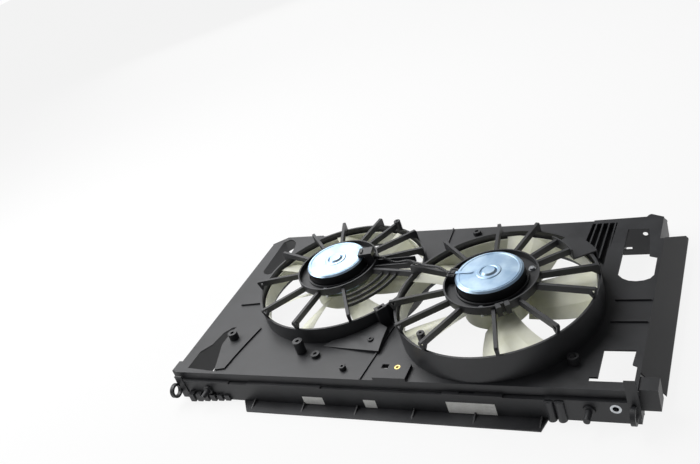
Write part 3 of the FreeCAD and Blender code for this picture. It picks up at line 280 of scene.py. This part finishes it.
dress(zinc_with_painted_dark_wall(), "motor_can")
dress(can_zinc, "end_plate")


def place_piece(name, mesh, material, body="shroud"):
    """Turns a mesh into an object, and ties it to its body and to its finish."""
    bmesh.ops.recalc_face_normals(mesh, faces=mesh.faces)
    data = bpy.data.meshes.new(name)
    mesh.to_mesh(data)
    mesh.free()
    data.materials.append(material)
    piece = bpy.data.objects.new(name, data)
    scene.collection.objects.link(piece)
    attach(piece, body)


def disc_steps(mesh, centre, steps, sides=64, capped=True):
    """Turned form: rings of the given radii and levels about an upright axis."""
    rings = []
    for radius, level in steps:
        rings.append([mesh.verts.new((centre[0] + radius * math.cos(2 * math.pi * n / sides),
                                      centre[1] + radius * math.sin(2 * math.pi * n / sides),
                                      level)) for n in range(sides)])
    for near, far in zip(rings, rings[1:]):
        for n in range(sides):
            mesh.faces.new((near[n], near[n - 1], far[n - 1], far[n]))
    if capped:
        mesh.faces.new(rings[0])
        mesh.faces.new(rings[-1])


def prism(mesh, floor_points, roof_points):
    """A closed form between two outlines with as many corners each."""
    floor = [mesh.verts.new(point) for point in floor_points]
    roof = [mesh.verts.new(point) for point in roof_points]
    mesh.faces.new(floor)
    mesh.faces.new(roof)
    for n in range(len(floor)):
        mesh.faces.new((floor[n - 1], floor[n], roof[n], roof[n - 1]))


def block(mesh, corners, low, high):
    """An upright block with the given outline, between two levels."""
    prism(mesh, [(x, y, low) for x, y in corners], [(x, y, high) for x, y in corners])


def turned_outline(centre, angle, points):
    """Corners given along and across a direction from a point, in metres."""
    cos, sin = math.cos(math.radians(angle)), math.sin(math.radians(angle))
    return [(centre[0] + a * cos - b * sin, centre[1] + a * sin + b * cos) for a, b in points]


def point_at(centre, angle, radius):
    """The point at a distance in a direction from a centre."""
    return turned_outline(centre, angle, [(radius, 0.0)])[0]


def rectangle(a0, a1, b0, b1):
    """Corners of a rectangle along and across a direction."""
    return [(a0, b0), (a1, b0), (a1, b1), (a0, b1)]


def centred(start, end, half):
    """Corners of a rectangle that lies evenly about a direction."""
    return rectangle(start, end, -half, half)


def raised_ring(end, inner, outer, bevel, sunk, shoulder, top):
    """Profile of a ring with bevelled corners, in heights from a can's end."""
    return [(outer, end - sunk), (outer, end + shoulder), (outer - bevel, end + top),
            (inner + bevel, end + top), (inner, end + shoulder), (inner, end - sunk)]


# Embossing of the cans: a shallow ring pressed up round the bearing's cup, made in the same
# draw as the can. It catches the light as thin bright circles.
for name in ("large", "small"):
    mesh = bmesh.new()
    disc_steps(mesh, axis[name], raised_ring(
        can_end[name], inner=0.0140, outer=0.0205, bevel=0.0010,
        sunk=0.0004, shoulder=0.0006, top=0.0011))
    place_piece(name + "_can_emboss", mesh, can_zinc)

# Earth strip of the large can: a narrow strip of zinc-plated steel, spot welded to the end. It
# runs from the embossed ring out to the can's edge, beside the connector.
strip_start, strip_full, strip_end = 0.0260, 0.0300, 0.0560
strip_tip, strip_half = 0.0022, 0.0030
mesh = bmesh.new()
block(mesh, turned_outline(axis["large"], 183, [
    (strip_start, -strip_tip), (strip_full, -strip_half), (strip_end, -strip_half),
    (strip_end, strip_half), (strip_full, strip_half), (strip_start, strip_tip)]),
    can_end["large"] - 0.0002, can_end["large"] + 0.0012)
place_piece("large_can_strip", mesh, can_zinc)

# Rolled edge of the cans: a bead near the edge of the end, polished by the die. It shows as a
# thin bright line round each disc. The middle and the underside of the bead are open.
for name in ("large", "small"):
    mesh = bmesh.new()
    disc_steps(mesh, axis[name], raised_ring(
        can_end[name], inner=0.0484, outer=0.0516, bevel=0.0006,
        sunk=0.0005, shoulder=0.0003, top=0.0007), capped=False)
    place_piece(name + "_can_bead", mesh, can_zinc)


# Lead between the motors: wires in a ribbed sleeve of soft black PVC. The rings that it is
# moulded with show as a fine bright beading along the top.
def ribbed_sleeve():
    """Clouded black, with rings 4 mm apart in relief."""
    ring_gap = 0.004
    ring_height = 0.0008
    material, tree, shader = new_material("ribbed_pvc_sleeve")
    shader.inputs["IOR"].default_value = PLASTIC_IOR
    place = add_node(tree, "ShaderNodeTexCoord")
    cloud = add_node(tree, "ShaderNodeTexNoise", values={"Scale": 60.0, "Detail": 3.0},
                     links={"Vector": place.outputs["Object"]})
    colour = add_node(tree, "ShaderNodeValToRGB", links={"Fac": cloud.outputs["Fac"]})
    for stop, hex_code in zip(colour.color_ramp.elements, ("#1a1b1d", "#303134")):
        stop.color = linear(hex_code)
    tree.links.new(colour.outputs["Color"], shader.inputs["Base Color"])
    gloss = add_node(tree, "ShaderNodeMapRange", values={"To Min": 0.3, "To Max": 0.48},
                     links={"Value": cloud.outputs["Fac"]})
    tree.links.new(gloss.outputs[0], shader.inputs["Roughness"])
    # the Wave texture repeats every 2 pi / (20 x scale)
    rings = add_node(tree, "ShaderNodeTexWave", values={"Scale": 2 * math.pi / 20 / ring_gap},
                     links={"Vector": place.outputs["Object"]})
    bump = add_node(tree, "ShaderNodeBump", values={"Strength": 0.6, "Distance": ring_height},
                    links={"Height": rings.outputs["Fac"]})
    tree.links.new(bump.outputs[0], shader.inputs["Normal"])
    return material


dress(ribbed_sleeve(), "motor_lead")

# Connectors: housings of black PBT, smoother than the shroud, moulded with a latch on top that
# holds the mating half: a tongue, a catch across its end, and a guide rail on each side.
plug_black = mottled("moulded_pbt_black", "#202124", "#2c2d30", (0.28, 0.4),
                     patch_mm=12, grain_mm=0.6, relief_mm=0.1, IOR=1.57)
dress(plug_black, "motor_plug")
latch_half, rail_thick = 0.0045, 0.0010
tongue = centred(-latch_half, latch_half, 0.0035)
catch = centred(0.0025, latch_half, 0.0060)
left_rail, right_rail = (rectangle(-latch_half, latch_half, side, side + rail_thick)
                         for side in (-0.0085, 0.0075))
for name, angle in (("large", 172), ("small", 12)):
    plug_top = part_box(name + "_motor_plug")[1][2]
    mesh = bmesh.new()
    for outline, rise in ((tongue, 0.0014), (catch, 0.0022), (left_rail, 0.0012),
                          (right_rail, 0.0012)):
        block(mesh, turned_outline(middle(name + "_motor_plug"), angle, outline),
              plug_top - 0.0004, plug_top + rise)
    place_piece(name + "_plug_latch", mesh, plug_black)

# Screws, nuts and bush: cold-headed or turned steel, zinc plated. They are bright, with a
# slightly grainy plating.
dress(mottled("zinc_plated_fastener_steel", "#a9adb1", "#d2d5d8", (0.24, 0.42),
              patch_mm=3, grain_mm=0.6, relief_mm=0.1, Metallic=1.0),
      "motor_screws", "fan_nut", "mount_bush")

# Shafts and bearings: ground steel, bright and even, under a film of oil.
dress(mottled("ground_steel", "#8f9398", "#b9bcc0", (0.16, 0.26),
              patch_mm=6, grain_mm=0.5, relief_mm=0.05, Metallic=1.0),
      "motor_shaft", "bearing")

# Threaded insert of the cable clamp: turned and knurled brass, pressed into the warm moulding.
# Its open end shows as a pale yellow ring.
dress(mottled("turned_brass", "#b99f5e", "#dcc887", (0.25, 0.4),
              patch_mm=4, grain_mm=0.5, relief_mm=0.1, Metallic=1.0),
      "threaded_insert")

# Inside of the motors: laminated steel core, enamelled copper winding, turned copper
# commutator, ferrite magnets, carbon brushes and their moulded holder.
dress(mottled("stacked_lamination_steel", "#5d6064", "#7f8286", (0.4, 0.55),
              patch_mm=8, grain_mm=0.8, relief_mm=0.2, Metallic=1.0),
      "armature_core")
dress(mottled("enamelled_copper_wire", "#8a3f1c", "#b5622f", (0.25, 0.4),
              patch_mm=3, grain_mm=1.0, relief_mm=0.4, Metallic=1.0),
      "armature_winding")
dress(mottled("turned_copper", "#b0714b", "#d09468", (0.3, 0.45),
              patch_mm=4, grain_mm=0.6, relief_mm=0.1, Metallic=1.0),
      "commutator")
dress(mottled("sintered_ferrite", "#2b2b2e", "#3c3c40", (0.5, 0.7),
              patch_mm=5, grain_mm=0.6, relief_mm=0.2, IOR=2.0),
      "motor_magnets")
dress(mottled("pressed_carbon", "#1e1e1f", "#2e2e30", (0.45, 0.6),
              patch_mm=2, grain_mm=0.5, relief_mm=0.2, IOR=1.8),
      "motor_brushes")
dress(mottled("moulded_phenolic", "#241f1c", "#342c27", (0.4, 0.55),
              patch_mm=10, grain_mm=0.7, relief_mm=0.1, IOR=1.6),
      "brush_holder")

# Labels: three blank white paper labels, stuck to the face of the upper beam. The paper is
# faintly mottled, and lies 0.3 mm proud.
label_white = mottled("matt_paper_label", "#f4f4f0", "#fdfdfa", (0.6, 0.8),
                      patch_mm=6, grain_mm=0.5, relief_mm=0.05, IOR=1.45)
for name, start, end, low, high in (("left", -0.1430, -0.1030, 0.0040, 0.0200),
                                    ("middle", -0.0250, -0.0030, 0.0035, 0.0200),
                                    ("right", 0.1220, 0.2010, 0.0035, 0.0260)):
    mesh = bmesh.new()
    block(mesh, rectangle(start, end, beam_face - 0.00030, beam_face - 0.00002), low, high)
    place_piece(name + "_blank_label", mesh, label_white)

# Slotted boss: a tall moulded block beside the small duct, where the harness can be clipped. It
# stands on the panel, with a slot along its top.
boss_near, boss_far, boss_half = 0.1652, 0.1772, 0.0100
slot_near, slot_far, slot_half = 0.1685, 0.1745, 0.0045
boss_top, slot_floor = panel_top + 0.0390, panel_top + 0.0320
mesh = bmesh.new()
for outline, high in (
        (rectangle(boss_near, boss_far, -boss_half, -slot_half), boss_top),
        (rectangle(boss_near, boss_far, slot_half, boss_half), boss_top),
        (centred(boss_near, slot_near, slot_half + let_in), boss_top),
        (centred(slot_far, boss_far, slot_half + let_in), boss_top),
        (centred(slot_near - let_in, slot_far + let_in, slot_half + let_in), slot_floor)):
    block(mesh, turned_outline(axis["small"], -41, outline), panel_top - let_in, high)
place_piece("slotted_boss", mesh, shroud_black)

# Clip block of the large stay: a moulded block on the near side of its ring that holds the
# harness, with a slot down its middle.
clip_near, clip_far, clip_half = 0.0760, 0.0885, 0.0110
clip_slot_near, clip_slot_half = 0.0800, 0.0030
mesh = bmesh.new()
for outline in (rectangle(clip_near, clip_far, -clip_half, -clip_slot_half),
                rectangle(clip_near, clip_far, clip_slot_half, clip_half),
                centred(clip_near, clip_slot_near, clip_slot_half + 0.0010)):
    block(mesh, turned_outline(axis["large"], -62, outline),
          stay_top["large"] - 0.0150, stay_top["large"] + 0.0020)
place_piece("large_ring_clip_block", mesh, shroud_black)

# Raised part of the panel between the ducts: a sloping step in the moulding, highest beside
# the large duct. Its corners are given with their heights above the panel, and its last side
# follows the small duct.
step_radius, step_crest, step_fall = 0.1670, 0.0120, 0.0080
edge = [(-0.1260, -0.1463, 0.0010), (-0.0104, -0.1610, 0.0060), (-0.0108, -0.1410, 0.0100),
        (-0.0126, -0.1073, step_crest)]
for angle in (-45, -52, -60, -68, -75):
    edge.append(point_at(axis["small"], angle, step_radius)
                + (step_crest + (angle + 45) / 30 * step_fall,))
mesh = bmesh.new()
prism(mesh, [(x, y, panel_top - let_in) for x, y, rise in edge],
      [(x, y, panel_top + rise) for x, y, rise in edge])
bmesh.ops.triangulate(mesh, faces=[face for face in mesh.faces if len(face.verts) > 4])
place_piece("panel_step", mesh, shroud_black)


# Small bosses: round moulded pips with a blind hole, for the screws and clips of the harness.
# Three stand on the panel, and two near the rims of the ducts, level with the stays.
def hollow_boss(mesh, centre, outer, hole, low, high):
    """A round boss with a blind hole that is two thirds of its height deep."""
    bevel = 0.0006
    disc_steps(mesh, centre, [(outer, low), (outer, high - bevel), (outer - bevel, high),
                              (hole, high), (hole, high - (high - low) * 2 / 3)], sides=32)


mesh = bmesh.new()
hollow_boss(mesh, (-0.2464, 0.1860), 0.0080, 0.0035, panel_top - let_in, panel_top + 0.0140)
hollow_boss(mesh, (-0.0619, -0.2008), 0.0060, 0.0025, panel_top - let_in, panel_top + 0.0070)
hollow_boss(mesh, (-0.0339, -0.1356), 0.0055, 0.0025, panel_top + 0.0040, panel_top + 0.0110)
place_piece("panel_bosses", mesh, shroud_black)
mesh = bmesh.new()
hollow_boss(mesh, point_at(axis["small"], 64, 0.1590), 0.0065, 0.0025,
            rim["small"] + 0.0010, stay_top["small"] - 0.0020)
hollow_boss(mesh, point_at(axis["large"], -120, 0.1560), 0.0065, 0.0025,
            rim["large"] + 0.0030, stay_top["large"] - 0.0025)
place_piece("spoke_bosses", mesh, shroud_black)

# Housing over the small motor's connector: a stepped block of black PBT that reaches from the
# ring in over the can's edge. Its levels are heights from the can's end.
mesh = bmesh.new()
for outline, low, high in ((centred(0.0480, 0.0740, 0.0115), 0.0008, 0.0060),
                           (centred(0.0600, 0.0740, 0.0095), -0.0080, 0.0010),
                           (centred(0.0520, 0.0560, 0.0060), 0.0058, 0.0080)):
    block(mesh, turned_outline(axis["small"], 12, outline),
          can_end["small"] + low, can_end["small"] + high)
place_piece("small_plug_housing", mesh, plug_black)

# Ribs at the beam's left end: stepped flutes moulded under the eye, which stiffen the end of
# the channel. Each is a little shallower and lower than the one before.
flute_start, flute_width, flute_pitch = -0.3850, 0.0110, 0.0150
flute_reach, reach_step = 0.0110, 0.0014
flute_foot, flute_head, head_step = 0.0030, 0.0200, 0.0010
mesh = bmesh.new()
for n in range(6):
    start = flute_start + n * flute_pitch
    reach = flute_reach - n * reach_step
    block(mesh, rectangle(start, start + flute_width, beam_face - reach, beam_face + let_in),
          flute_foot, flute_head - n * head_step)
place_piece("beam_end_flutes", mesh, shroud_black)

# Rib on the left of the panel: a low moulded fin, 2 mm thick, that runs out towards the left
# air guide.
rib_thick, rib_rise = 0.0020, 0.0035
rib_line = [(-0.3700, -0.0310), (-0.3240, -0.0257)]
mesh = bmesh.new()
block(mesh, rib_line + [(x, y + rib_thick) for x, y in reversed(rib_line)],
      panel_top - let_in, panel_top + rib_rise)
place_piece("left_panel_rib", mesh, shroud_black)
